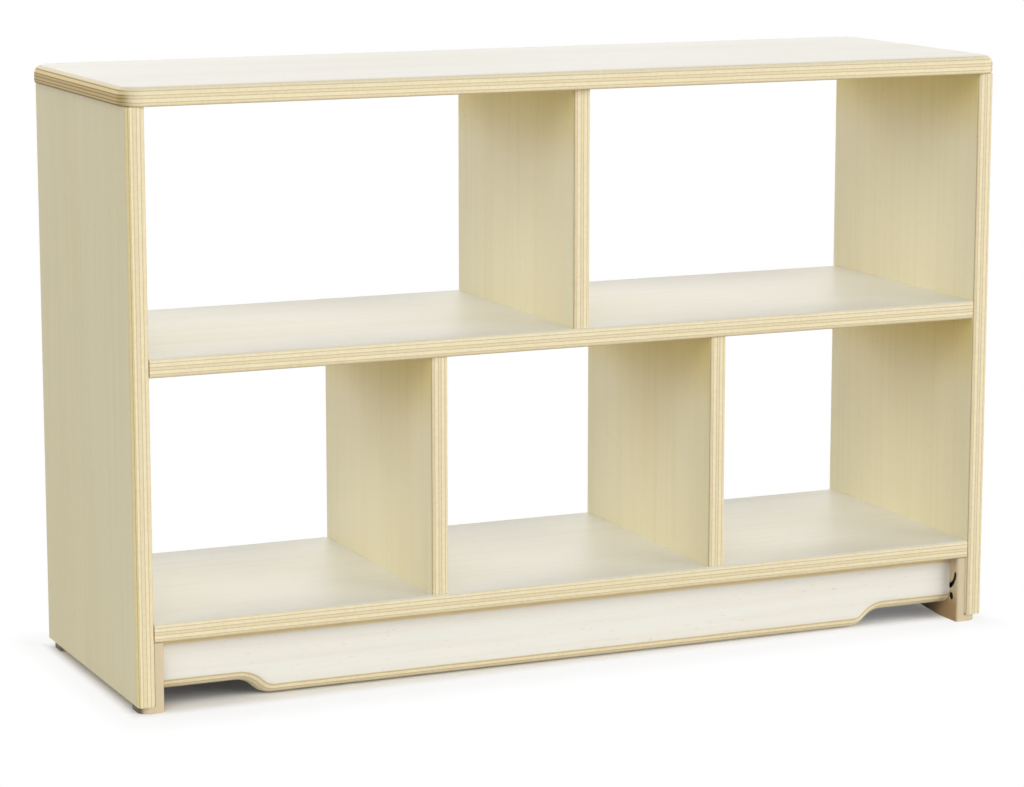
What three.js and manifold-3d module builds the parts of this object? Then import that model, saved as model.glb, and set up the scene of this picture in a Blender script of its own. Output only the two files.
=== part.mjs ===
// Open-backed classroom shelf in rounded birch plywood: two wide compartments above three narrower
// ones, on a front and a rear kickboard and four moulded corner legs.
// Millimetres, +Z up. The shelf faces -Y, and the origin is on the floor under its middle.

import * as THREE from 'three';
import { mergeVertices } from 'three/addons/utils/BufferGeometryUtils.js';
import Module from 'manifold-3d';

const wasm = await Module();
wasm.setup();

// Carcass
const BODY_WIDTH = 952; // over the outer faces of the side panels
const BODY_DEPTH = 305; // side panels, front edge to back edge
const HEIGHT = 610; // floor to the upper face of the top
const PLY = 19; // plywood of every board
const PANEL_LIFT = 7.5; // floor to the lower edge of the side panels
const BOTTOM_SHELF_HEIGHT = 89.5; // floor to the upper face of the bottom shelf
const SHELF_BACK_SETBACK = 4; // shelves end this far short of the side panels' back edges
const DIVIDER_SETBACK = 4; // dividers stand this far behind the side panels' edges, front and back
const EDGE_RADIUS = 4; // rounded front and back edges of sides, shelves and dividers
const FOOT_EDGE_RADIUS = 2; // eased lower edges of the side panels

// Top panel
const TOP_OVERHANG = 4.5; // past the side panels, all round
const TOP_CORNER_RADIUS = 22; // plan corners
const TOP_UPPER_RADIUS = 9.5; // round-over of the upper edge
const TOP_LOWER_RADIUS = 3; // round-over of the lower edge

// Kickboards
const KICK_SETBACK = 18; // behind the side panels' edges
const KICK_FLOOR_GAP = 1; // floor to the low middle stretch
const KICK_RAISE = 16; // the end stretches stand this much higher
const KICK_CURVE_CENTRE = 129; // middle of the reverse curve, from the side panel's outer face
const KICK_CURVE_RADIUS = 26; // both arcs of the reverse curve
const KICK_EDGE_RADIUS = 16; // round-over of the lower outer edge

// Corner legs
const LEG_THICKNESS = 10; // inwards from the side panel's inner face
const LEG_DEPTH = 80; // front to back
const LEG_SETBACK = 3; // behind the side panels' edges
const LEG_EDGE_RADIUS = 3; // upright inner edges
const LEG_WALL = 3; // moulded walls
const LEG_SOLE = 8; // solid floor of the leg
const LEG_RIB = 2.5; // ribs between the hollows of the moulding
const LEG_HOLLOWS = 3; // hollows side by side, open to the side panel
const TOE_LENGTH = 35; // toe under the side panel, front to back
const TOE_INSET = 4; // toe stops this far short of the panel's outer face
const TOE_CORNER_RADIUS = 10;
const HEEL_RELIEF = 4; // the sole rises this much from behind the toe to the back of the leg
const SLOT_CENTRE_BACK = 23.5; // curved slot, from the side panel's edge
const SLOT_CENTRE_HEIGHT = 52.5; // above the floor
const SLOT_RADIUS = 16;
const SLOT_WIDTH = 5.5;
const SLOT_START_DEGREES = 182; // measured from the way back, turning up
const SLOT_END_DEGREES = 262;

// Leg screws
const SCREW_HEAD_DIAMETER = 8;
const SCREW_HEAD_HEIGHT = 2.5;
const SCREW_SHANK_DIAMETER = 4;
const SCREW_TIP = 4; // length of the pointed end
const SCREW_IN_PANEL = 13; // length that enters the side panel
const SCREW_SEAT = 3; // plastic left under the screw head
const SCREW_RECESS_DIAMETER = 9;
const SCREW_BOSS_DIAMETER = 15;
const OUTER_SCREW_BACK = 15; // from the side panel's edge
const OUTER_SCREW_HEIGHT = 26.5; // above the floor
const INNER_SCREW_BACK = 70;
const INNER_SCREW_HEIGHT = 45;

// Dowels
const DOWEL_DIAMETER = 8;
const DOWEL_IN_FACE = 11; // length that enters the face of a board
const DOWEL_IN_EDGE = 19; // length that enters the edge of a board
const DOWEL_CHAMFER = 1;
const DOWEL_RELIEF = 1; // empty end of each dowel hole
const SIDE_DOWEL_MARGIN = 40; // outermost dowels of a side joint, from the side panels' edges
const DIVIDER_DOWEL_MARGIN = 60; // dowels of a divider joint, from the side panels' edges
const KICK_DOWEL_SPACING = 300;

// Fits and facets
const GLUE_LINE = 0.25; // between two pieces that meet
const HOLE_CLEARANCE = 0.3; // round each dowel and screw
const THROUGH = 5; // how far a cutter reaches past what it cuts
const EDGE_STEPS = 4; // facets of a quarter round-over
const CORNER_STEPS = 6; // facets of a plan corner
const CURVE_STEPS = 7; // facets of each arc of a kickboard's reverse curve
const ROUND_SIDES = 12; // facets round a dowel or a screw
const SLOT_STEPS = 10; // facets along the curved slot

// Levels and places that follow from the sizes
const TOP_UNDERSIDE = HEIGHT - PLY;
const BOTTOM_SHELF_UNDERSIDE = BOTTOM_SHELF_HEIGHT - PLY;
const CLEAR_HEIGHT = (TOP_UNDERSIDE - BOTTOM_SHELF_HEIGHT - PLY) / 2;
const MIDDLE_SHELF_UNDERSIDE = BOTTOM_SHELF_HEIGHT + CLEAR_HEIGHT;
const MIDDLE_SHELF_HEIGHT = MIDDLE_SHELF_UNDERSIDE + PLY;
const HALF_WIDTH = BODY_WIDTH / 2;
const HALF_DEPTH = BODY_DEPTH / 2;
const INNER_HALF_WIDTH = HALF_WIDTH - PLY;
const LOWER_COMPARTMENT = (2 * INNER_HALF_WIDTH - 2 * PLY) / 3;
const LOWER_DIVIDER_X = (LOWER_COMPARTMENT + PLY) / 2;
const SHELF_MIDDLE_Y = -SHELF_BACK_SETBACK / 2;
const SIDE_DOWEL_Y = HALF_DEPTH - SIDE_DOWEL_MARGIN;
const DIVIDER_DOWEL_Y = HALF_DEPTH - DIVIDER_DOWEL_MARGIN;
const KICK_MIDDLE_Y = HALF_DEPTH - KICK_SETBACK - PLY / 2;

// Turns of a shape drawn in local X and Y and grown along local Z
const X_AXIS = new THREE.Vector3(1, 0, 0);
const Y_AXIS = new THREE.Vector3(0, 1, 0);
const Z_AXIS = new THREE.Vector3(0, 0, 1);
const GROW_ALONG_X = new THREE.Matrix4().makeBasis(Y_AXIS, Z_AXIS, X_AXIS);
const GROW_TO_FRONT = new THREE.Matrix4().makeBasis(X_AXIS, Z_AXIS, Y_AXIS.clone().negate());
const HALF_TURN = new THREE.Matrix4().makeScale(-1, -1, 1);

// Turns of a revolved shape, whose own axis is local Y
const REVOLVE_ALONG_X = new THREE.Matrix4().makeBasis(Z_AXIS, X_AXIS, Y_AXIS);
const REVOLVE_ALONG_Z = new THREE.Matrix4().makeBasis(Y_AXIS, Z_AXIS, X_AXIS);

const shelf = new THREE.Group();

function plywood() {
  return new THREE.MeshStandardMaterial({ color: 0xe9e4d0, roughness: 0.45, metalness: 0 });
}

function beech() {
  return new THREE.MeshStandardMaterial({ color: 0xcfae7c, roughness: 0.7, metalness: 0 });
}

function tanPlastic() {
  return new THREE.MeshStandardMaterial({ color: 0xcbb891, roughness: 0.55, metalness: 0 });
}

function steel() {
  return new THREE.MeshStandardMaterial({ color: 0x3c3b38, roughness: 0.5, metalness: 1 });
}

function addPiece(name, geometry, material, x, y, z) {
  const mesh = new THREE.Mesh(geometry, material);
  mesh.name = name;
  mesh.position.set(x, y, z);
  shelf.add(mesh);
}

// Booleans

function toSolid(geometry) {
  const bare = geometry.clone();
  bare.deleteAttribute('normal');
  bare.deleteAttribute('uv');
  const merged = mergeVertices(bare, 1e-4);
  return new wasm.Manifold(new wasm.Mesh({
    numProp: 3,
    vertProperties: new Float32Array(merged.attributes.position.array),
    triVerts: new Uint32Array(merged.index.array),
  }));
}

function toGeometry(solid) {
  const mesh = solid.getMesh();
  const geometry = new THREE.BufferGeometry();
  geometry.setAttribute('position', new THREE.BufferAttribute(mesh.vertProperties, 3));
  geometry.setIndex(new THREE.BufferAttribute(mesh.triVerts, 1));
  return geometry;
}

function cutAway(geometry, cutters) {
  let solid = toSolid(geometry);
  for (const cutter of cutters) {
    solid = solid.subtract(toSolid(cutter));
  }
  return toGeometry(solid);
}

// Forms

// Closed body through outlines of equally many points, one at each level, run anticlockwise
function loft(levels) {
  const count = levels[0].outline.length;
  const positions = [];
  const triangles = [];
  for (const { outline, z } of levels) {
    for (const point of outline) {
      positions.push(point.x, point.y, z);
    }
  }
  for (let level = 0; level + 1 < levels.length; level += 1) {
    for (let i = 0; i < count; i += 1) {
      const here = level * count + i;
      const next = level * count + ((i + 1) % count);
      triangles.push(here, next, next + count);
      triangles.push(here, next + count, here + count);
    }
  }
  const lastRing = (levels.length - 1) * count;
  for (const [a, b, c] of THREE.ShapeUtils.triangulateShape(levels[0].outline, [])) {
    triangles.push(a, c, b);
  }
  for (const [a, b, c] of THREE.ShapeUtils.triangulateShape(levels.at(-1).outline, [])) {
    triangles.push(lastRing + a, lastRing + b, lastRing + c);
  }
  const geometry = new THREE.BufferGeometry();
  geometry.setAttribute('position', new THREE.Float32BufferAttribute(positions, 3));
  geometry.setIndex(triangles);
  return geometry;
}

// Rectangle with rounded corners, centred on the origin
function roundedRectangle(width, depth, radius, steps) {
  const outline = [];
  for (let corner = 0; corner < 4; corner += 1) {
    const signX = corner === 0 || corner === 3 ? 1 : -1;
    const signY = corner < 2 ? 1 : -1;
    for (let step = 0; step <= steps; step += 1) {
      const angle = (corner + step / steps) * (Math.PI / 2);
      outline.push(new THREE.Vector2(
        signX * (width / 2 - radius) + radius * Math.cos(angle),
        signY * (depth / 2 - radius) + radius * Math.sin(angle),
      ));
    }
  }
  return outline;
}

// Quarter round-over as pairs of inset and drop, from the flat face to the upright edge
function roundOver(radius) {
  const pairs = [];
  for (let step = 0; step <= EDGE_STEPS; step += 1) {
    const angle = (step / EDGE_STEPS) * (Math.PI / 2);
    pairs.push({ inset: radius * (1 - Math.sin(angle)), drop: radius * (1 - Math.cos(angle)) });
  }
  return pairs;
}

// Board with rounded long edges: its section is drawn flat and runs for the board's length
function board(sectionX, sectionY, length) {
  const outline = roundedRectangle(sectionX, sectionY, EDGE_RADIUS, EDGE_STEPS);
  return loft([{ outline, z: 0 }, { outline, z: length }]);
}

// Round hole of a dowel or screw, centred on the origin
function hole(diameter, length) {
  return new THREE.CylinderGeometry(diameter / 2, diameter / 2, length, ROUND_SIDES);
}

function dowelHole(depth, turn, x, y, z) {
  const length = 2 * (depth + DOWEL_RELIEF);
  return hole(DOWEL_DIAMETER + 2 * HOLE_CLEARANCE, length).applyMatrix4(turn).translate(x, y, z);
}

// Fluted pins are drawn plain: a rod with chamfered ends that starts at zero and runs up its axis
function dowel(turn) {
  const radius = DOWEL_DIAMETER / 2;
  const length = DOWEL_IN_FACE + DOWEL_IN_EDGE;
  const profile = [
    new THREE.Vector2(0, 0),
    new THREE.Vector2(radius - DOWEL_CHAMFER, 0),
    new THREE.Vector2(radius, DOWEL_CHAMFER),
    new THREE.Vector2(radius, length - DOWEL_CHAMFER),
    new THREE.Vector2(radius - DOWEL_CHAMFER, length),
    new THREE.Vector2(0, length),
  ];
  return new THREE.LatheGeometry(profile, ROUND_SIDES).applyMatrix4(turn);
}

// Places of the dowels along each kind of joint
const SIDE_DOWEL_PLACES = [-SIDE_DOWEL_Y, 0, SIDE_DOWEL_Y];
const DIVIDER_DOWEL_PLACES = [-DIVIDER_DOWEL_Y, DIVIDER_DOWEL_Y];
const KICK_DOWEL_PLACES = [-KICK_DOWEL_SPACING, 0, KICK_DOWEL_SPACING];

// Dividers, each between an underside and an upper face
const DIVIDERS = [
  { name: 'upper_divider', x: 0, base: MIDDLE_SHELF_HEIGHT, head: TOP_UNDERSIDE },
  {
    name: 'lower_divider_left',
    x: -LOWER_DIVIDER_X,
    base: BOTTOM_SHELF_HEIGHT,
    head: MIDDLE_SHELF_UNDERSIDE,
  },
  {
    name: 'lower_divider_right',
    x: LOWER_DIVIDER_X,
    base: BOTTOM_SHELF_HEIGHT,
    head: MIDDLE_SHELF_UNDERSIDE,
  },
];
const SHELVES = [
  { name: 'middle_shelf', underside: MIDDLE_SHELF_UNDERSIDE },
  { name: 'bottom_shelf', underside: BOTTOM_SHELF_UNDERSIDE },
];
const SIDES = [
  { name: 'left', sign: -1 },
  { name: 'right', sign: 1 },
];
const ENDS = [
  { name: 'front', sign: -1 },
  { name: 'rear', sign: 1 },
];

// Top panel: rounded plan corners, a large round-over above and a small one below

function addTopPanel() {
  const width = BODY_WIDTH + 2 * TOP_OVERHANG;
  const depth = BODY_DEPTH + 2 * TOP_OVERHANG;
  const outlineAt = (inset) => roundedRectangle(
    width - 2 * inset,
    depth - 2 * inset,
    TOP_CORNER_RADIUS - inset,
    CORNER_STEPS,
  );
  const lower = roundOver(TOP_LOWER_RADIUS);
  const upper = roundOver(TOP_UPPER_RADIUS).reverse();
  const levels = [
    ...lower.map(({ inset, drop }) => ({ outline: outlineAt(inset), z: drop })),
    ...upper.map(({ inset, drop }) => ({ outline: outlineAt(inset), z: PLY - drop })),
  ];
  const holes = [];
  for (const { sign } of SIDES) {
    for (const y of SIDE_DOWEL_PLACES) {
      holes.push(dowelHole(DOWEL_IN_FACE, REVOLVE_ALONG_Z, sign * (HALF_WIDTH - PLY / 2), y, 0));
    }
  }
  for (const { x, head } of DIVIDERS) {
    if (head === TOP_UNDERSIDE) {
      holes.push(...DIVIDER_DOWEL_PLACES.map((y) => dowelHole(DOWEL_IN_FACE, REVOLVE_ALONG_Z, x, y, 0)));
    }
  }
  addPiece('top_panel', cutAway(loft(levels), holes), plywood(), 0, 0, TOP_UNDERSIDE);
}

// Side panels: rounded upright edges, eased lower edges, a square upper end under the top

const LEG_SCREWS = [
  { name: 'outer', back: OUTER_SCREW_BACK, height: OUTER_SCREW_HEIGHT },
  { name: 'inner', back: INNER_SCREW_BACK, height: INNER_SCREW_HEIGHT },
];

function addSidePanel({ name, sign }) {
  const height = TOP_UNDERSIDE - GLUE_LINE - PANEL_LIFT;
  const outlineAt = (inset) => roundedRectangle(
    PLY - 2 * inset,
    BODY_DEPTH - 2 * inset,
    EDGE_RADIUS - inset,
    EDGE_STEPS,
  );
  const foot = roundOver(FOOT_EDGE_RADIUS);
  const levels = foot.map(({ inset, drop }) => ({ outline: outlineAt(inset), z: drop }));
  levels.push({ outline: outlineAt(0), z: height });

  const innerFace = -sign * (PLY / 2);
  const holes = [];
  for (const y of SIDE_DOWEL_PLACES) {
    holes.push(dowelHole(DOWEL_IN_EDGE, REVOLVE_ALONG_Z, 0, y, height));
    for (const { underside } of SHELVES) {
      const z = underside + PLY / 2 - PANEL_LIFT;
      holes.push(dowelHole(DOWEL_IN_FACE, REVOLVE_ALONG_X, innerFace, y, z));
    }
  }
  const pilot = SCREW_SHANK_DIAMETER + 2 * HOLE_CLEARANCE;
  for (const end of ENDS) {
    for (const { back, height: level } of LEG_SCREWS) {
      const y = end.sign * (HALF_DEPTH - back);
      const bore = hole(pilot, 2 * (SCREW_IN_PANEL + DOWEL_RELIEF)).applyMatrix4(REVOLVE_ALONG_X);
      holes.push(bore.translate(innerFace, y, level - PANEL_LIFT));
    }
  }
  const middleX = sign * (HALF_WIDTH - PLY / 2);
  addPiece(`side_panel_${name}`, cutAway(loft(levels), holes), plywood(), middleX, 0, PANEL_LIFT);
}

// Shelves: between the side panels, flush with their front edges

function addShelf({ name, underside }) {
  const length = 2 * (INNER_HALF_WIDTH - GLUE_LINE);
  const depth = BODY_DEPTH - SHELF_BACK_SETBACK;
  const body = board(depth, PLY, length).applyMatrix4(GROW_ALONG_X).translate(-length / 2, 0, 0);
  const holes = [];
  for (const { sign } of SIDES) {
    for (const y of SIDE_DOWEL_PLACES) {
      const place = y - SHELF_MIDDLE_Y;
      holes.push(dowelHole(DOWEL_IN_EDGE, REVOLVE_ALONG_X, sign * INNER_HALF_WIDTH, place, 0));
    }
  }
  for (const { x, base, head } of DIVIDERS) {
    for (const y of DIVIDER_DOWEL_PLACES) {
      const place = y - SHELF_MIDDLE_Y;
      if (base === underside + PLY) {
        holes.push(dowelHole(DOWEL_IN_FACE, REVOLVE_ALONG_Z, x, place, PLY / 2));
      }
      if (head === underside) {
        holes.push(dowelHole(DOWEL_IN_FACE, REVOLVE_ALONG_Z, x, place, -PLY / 2));
      }
    }
  }
  if (underside === BOTTOM_SHELF_UNDERSIDE) {
    for (const { sign } of ENDS) {
      for (const x of KICK_DOWEL_PLACES) {
        const place = sign * KICK_MIDDLE_Y - SHELF_MIDDLE_Y;
        holes.push(dowelHole(DOWEL_IN_FACE, REVOLVE_ALONG_Z, x, place, -PLY / 2));
      }
    }
  }
  addPiece(name, cutAway(body, holes), plywood(), 0, SHELF_MIDDLE_Y, underside + PLY / 2);
}

// Dividers: upright boards whose rounded edges stand just behind those of the shelves

function addDivider({ name, x, base, head }) {
  const height = head - base - 2 * GLUE_LINE;
  const body = board(PLY, BODY_DEPTH - 2 * DIVIDER_SETBACK, height);
  const holes = [];
  for (const y of DIVIDER_DOWEL_PLACES) {
    holes.push(dowelHole(DOWEL_IN_EDGE, REVOLVE_ALONG_Z, 0, y, 0));
    holes.push(dowelHole(DOWEL_IN_EDGE, REVOLVE_ALONG_Z, 0, y, height));
  }
  addPiece(name, cutAway(body, holes), plywood(), x, 0, base + GLUE_LINE);
}

// Kickboards: raised ends, a reverse curve down to the low middle, a large round-over along the
// lower outer edge that follows the curve

function kickOutline(inset, halfLength, height) {
  const arcTurn = Math.acos(1 - KICK_RAISE / (2 * KICK_CURVE_RADIUS));
  const arcRun = KICK_CURVE_RADIUS * Math.sin(arcTurn);
  const curveX = HALF_WIDTH - KICK_CURVE_CENTRE;
  const rightHalf = [];
  for (let step = 0; step <= CURVE_STEPS; step += 1) {
    const angle = (step / CURVE_STEPS) * arcTurn;
    const radius = KICK_CURVE_RADIUS - inset;
    rightHalf.push(new THREE.Vector2(
      curveX - arcRun + radius * Math.sin(angle),
      KICK_CURVE_RADIUS - radius * Math.cos(angle),
    ));
  }
  for (let step = CURVE_STEPS - 1; step >= 0; step -= 1) {
    const angle = (step / CURVE_STEPS) * arcTurn;
    const radius = KICK_CURVE_RADIUS + inset;
    rightHalf.push(new THREE.Vector2(
      curveX + arcRun - radius * Math.sin(angle),
      KICK_RAISE - KICK_CURVE_RADIUS + radius * Math.cos(angle),
    ));
  }
  rightHalf.push(new THREE.Vector2(halfLength, KICK_RAISE + inset));
  rightHalf.push(new THREE.Vector2(halfLength, height));
  const leftHalf = rightHalf.map(({ x, y }) => new THREE.Vector2(-x, y)).reverse();
  return [...rightHalf, ...leftHalf];
}

function addKickboard({ name, sign }) {
  const halfLength = INNER_HALF_WIDTH - LEG_THICKNESS - GLUE_LINE;
  const height = BOTTOM_SHELF_UNDERSIDE - GLUE_LINE - KICK_FLOOR_GAP;
  const radius = Math.min(KICK_EDGE_RADIUS, PLY - 1, KICK_CURVE_RADIUS - 1);
  const levels = [{ outline: kickOutline(0, halfLength, height), z: -PLY / 2 }];
  for (const { inset, drop } of roundOver(radius).reverse()) {
    levels.push({ outline: kickOutline(inset, halfLength, height), z: PLY / 2 - drop });
  }
  const body = loft(levels).applyMatrix4(GROW_TO_FRONT);
  if (sign > 0) {
    body.applyMatrix4(HALF_TURN);
  }
  const holes = KICK_DOWEL_PLACES.map((x) => dowelHole(DOWEL_IN_EDGE, REVOLVE_ALONG_Z, x, 0, height));
  const middleY = sign * KICK_MIDDLE_Y;
  addPiece(`kickboard_${name}`, cutAway(body, holes), plywood(), 0, middleY, KICK_FLOOR_GAP);
}

// Corner legs: a moulding against the side panel's inner face, with a toe under the panel,
// a sole that rises towards its heel, hollows behind its wall, a curved slot and two screw recesses.
// Each is drawn from the corner where the panel's inner face meets its edge, inwards and back.

function addLeg(side, end) {
  const inwards = -side.sign;
  const back = -end.sign;
  const place = (across, along) => new THREE.Vector2(inwards * across, back * along);
  const upright = (points, height) => new THREE.ExtrudeGeometry(
    new THREE.Shape(points),
    { depth: height, bevelEnabled: false },
  );
  // Points are pairs of distance back and height, and the body is as wide to either side of its middle
  const crosswise = (pairs, width, middle) => {
    const points = pairs.map(([along, height]) => new THREE.Vector2(back * along, height));
    const geometry = upright(points, width).translate(0, 0, -width / 2).applyMatrix4(GROW_ALONG_X);
    return geometry.translate(inwards * middle, 0, 0);
  };

  const legMiddle = LEG_SETBACK + LEG_DEPTH / 2;
  const legHeight = BOTTOM_SHELF_UNDERSIDE - GLUE_LINE;
  const plate = roundedRectangle(2 * LEG_THICKNESS, LEG_DEPTH, LEG_EDGE_RADIUS, EDGE_STEPS)
    .map(({ x, y }) => place(Math.max(x, GLUE_LINE), legMiddle + y));
  let solid = toSolid(upright(plate, legHeight));

  const toeWidth = PLY - TOE_INSET;
  const toe = roundedRectangle(2 * toeWidth, TOE_LENGTH, TOE_CORNER_RADIUS, EDGE_STEPS)
    .map(({ x, y }) => place(Math.min(x, LEG_WALL), LEG_SETBACK + TOE_LENGTH / 2 + y));
  solid = solid.add(toSolid(upright(toe, PANEL_LIFT - GLUE_LINE)));

  const heelStart = LEG_SETBACK + TOE_LENGTH;
  const heelEnd = LEG_SETBACK + LEG_DEPTH;
  const underHeel = [
    [heelStart, 0],
    [heelStart, -THROUGH],
    [heelEnd, -THROUGH],
    [heelEnd, HEEL_RELIEF],
  ];
  solid = solid.subtract(toSolid(crosswise(underHeel, 2 * (LEG_THICKNESS + THROUGH), 0)));

  const hollowLength = (LEG_DEPTH - 2 * LEG_WALL - (LEG_HOLLOWS - 1) * LEG_RIB) / LEG_HOLLOWS;
  const hollowHeight = legHeight - LEG_SOLE - LEG_WALL;
  const hollowDepth = LEG_THICKNESS - LEG_WALL + THROUGH;
  for (let column = 0; column < LEG_HOLLOWS; column += 1) {
    const along = LEG_SETBACK + LEG_WALL + hollowLength / 2 + column * (hollowLength + LEG_RIB);
    const hollow = new THREE.BoxGeometry(hollowDepth, hollowLength, hollowHeight);
    const across = LEG_THICKNESS - LEG_WALL - hollowDepth / 2;
    hollow.translate(inwards * across, back * along, LEG_SOLE + hollowHeight / 2);
    solid = solid.subtract(toSolid(hollow));
  }

  const bossLength = LEG_THICKNESS - GLUE_LINE - LEG_WALL / 2;
  for (const { back: along, height } of LEG_SCREWS) {
    const boss = hole(SCREW_BOSS_DIAMETER, bossLength).applyMatrix4(REVOLVE_ALONG_X);
    boss.translate(inwards * (GLUE_LINE + bossLength / 2), back * along, height);
    solid = solid.add(toSolid(boss));
    const recess = hole(SCREW_RECESS_DIAMETER, 2 * (LEG_THICKNESS - SCREW_SEAT));
    recess.applyMatrix4(REVOLVE_ALONG_X).translate(inwards * LEG_THICKNESS, back * along, height);
    solid = solid.subtract(toSolid(recess));
    const bore = hole(SCREW_SHANK_DIAMETER + 2 * HOLE_CLEARANCE, 2 * LEG_THICKNESS);
    bore.applyMatrix4(REVOLVE_ALONG_X).translate(0, back * along, height);
    solid = solid.subtract(toSolid(bore));
  }

  solid = solid.subtract(toSolid(crosswise(arcSlotPoints(), LEG_WALL + THROUGH, LEG_THICKNESS)));

  const cornerX = side.sign * INNER_HALF_WIDTH;
  const cornerY = end.sign * HALF_DEPTH;
  addPiece(`leg_${end.name}_${side.name}`, toGeometry(solid), tanPlastic(), cornerX, cornerY, 0);
}

// Outline of the curved slot, as pairs of distance back and height: two arcs about one centre,
// closed by half-round ends
function arcSlotPoints() {
  const start = THREE.MathUtils.degToRad(SLOT_START_DEGREES);
  const end = THREE.MathUtils.degToRad(SLOT_END_DEGREES);
  const half = SLOT_WIDTH / 2;
  const endSteps = EDGE_STEPS - 2;
  const endStep = Math.PI / EDGE_STEPS;
  const pairs = [];
  const addArc = (centreBack, centreHeight, radius, from, to, steps) => {
    for (let step = 0; step <= steps; step += 1) {
      const angle = from + (to - from) * (step / steps);
      pairs.push([centreBack + radius * Math.cos(angle), centreHeight + radius * Math.sin(angle)]);
    }
  };
  const endCentre = (angle) => [
    SLOT_CENTRE_BACK + SLOT_RADIUS * Math.cos(angle),
    SLOT_CENTRE_HEIGHT + SLOT_RADIUS * Math.sin(angle),
  ];
  addArc(SLOT_CENTRE_BACK, SLOT_CENTRE_HEIGHT, SLOT_RADIUS + half, start, end, SLOT_STEPS);
  addArc(...endCentre(end), half, end + endStep, end + Math.PI - endStep, endSteps);
  addArc(SLOT_CENTRE_BACK, SLOT_CENTRE_HEIGHT, SLOT_RADIUS - half, end, start, SLOT_STEPS);
  addArc(...endCentre(start), half, start + Math.PI + endStep, start + 2 * Math.PI - endStep, endSteps);
  return pairs;
}

// Leg screws: a pan head seated in the leg's recess, a plain shank and a point in the side panel

function addLegScrew(side, end, { name, back, height }) {
  const headRadius = SCREW_HEAD_DIAMETER / 2;
  const shankRadius = SCREW_SHANK_DIAMETER / 2;
  const length = SCREW_SEAT + SCREW_IN_PANEL;
  const profile = [
    new THREE.Vector2(0, -length),
    new THREE.Vector2(shankRadius, SCREW_TIP - length),
    new THREE.Vector2(shankRadius, GLUE_LINE),
    new THREE.Vector2(headRadius, GLUE_LINE),
    new THREE.Vector2(headRadius, GLUE_LINE + SCREW_HEAD_HEIGHT / 2),
    new THREE.Vector2(headRadius / 2, GLUE_LINE + SCREW_HEAD_HEIGHT),
    new THREE.Vector2(0, GLUE_LINE + SCREW_HEAD_HEIGHT),
  ];
  const screw = new THREE.LatheGeometry(profile, ROUND_SIDES).applyMatrix4(REVOLVE_ALONG_X);
  if (side.sign > 0) {
    screw.applyMatrix4(HALF_TURN);
  }
  const x = side.sign * (INNER_HALF_WIDTH - SCREW_SEAT);
  const y = end.sign * (HALF_DEPTH - back);
  addPiece(`leg_screw_${end.name}_${side.name}_${name}`, screw, steel(), x, y, height);
}

// Dowels: three across each side joint, two across each divider joint, three along each kickboard

function addUprightDowel(name, x, y, interfaceHeight, lengthBelow) {
  addPiece(name, dowel(REVOLVE_ALONG_Z), beech(), x, y, interfaceHeight - lengthBelow);
}

function addDowels() {
  for (const { name, sign } of SIDES) {
    SIDE_DOWEL_PLACES.forEach((y, index) => {
      const number = index + 1;
      const panelX = sign * (HALF_WIDTH - PLY / 2);
      addUprightDowel(`dowel_top_${name}_${number}`, panelX, y, TOP_UNDERSIDE, DOWEL_IN_EDGE);
      for (const { name: shelfName, underside } of SHELVES) {
        const leftEnd = sign > 0 ? INNER_HALF_WIDTH - DOWEL_IN_EDGE : -INNER_HALF_WIDTH - DOWEL_IN_FACE;
        const z = underside + PLY / 2;
        addPiece(`dowel_${shelfName}_${name}_${number}`, dowel(REVOLVE_ALONG_X), beech(), leftEnd, y, z);
      }
    });
  }
  for (const { name, x, base, head } of DIVIDERS) {
    DIVIDER_DOWEL_PLACES.forEach((y, index) => {
      const end = ENDS[index].name;
      addUprightDowel(`dowel_${name}_base_${end}`, x, y, base, DOWEL_IN_FACE);
      addUprightDowel(`dowel_${name}_head_${end}`, x, y, head, DOWEL_IN_EDGE);
    });
  }
  for (const { name, sign } of ENDS) {
    KICK_DOWEL_PLACES.forEach((x, index) => {
      const y = sign * KICK_MIDDLE_Y;
      addUprightDowel(`dowel_kickboard_${name}_${index + 1}`, x, y, BOTTOM_SHELF_UNDERSIDE, DOWEL_IN_EDGE);
    });
  }
}

addTopPanel();
SIDES.forEach(addSidePanel);
SHELVES.forEach(addShelf);
DIVIDERS.forEach(addDivider);
ENDS.forEach(addKickboard);
for (const side of SIDES) {
  for (const end of ENDS) {
    addLeg(side, end);
    LEG_SCREWS.forEach((screw) => addLegScrew(side, end, screw));
  }
}
addDowels();

export default shelf;
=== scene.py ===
import math

import bmesh
import bpy
from mathutils import Matrix, Vector


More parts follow.
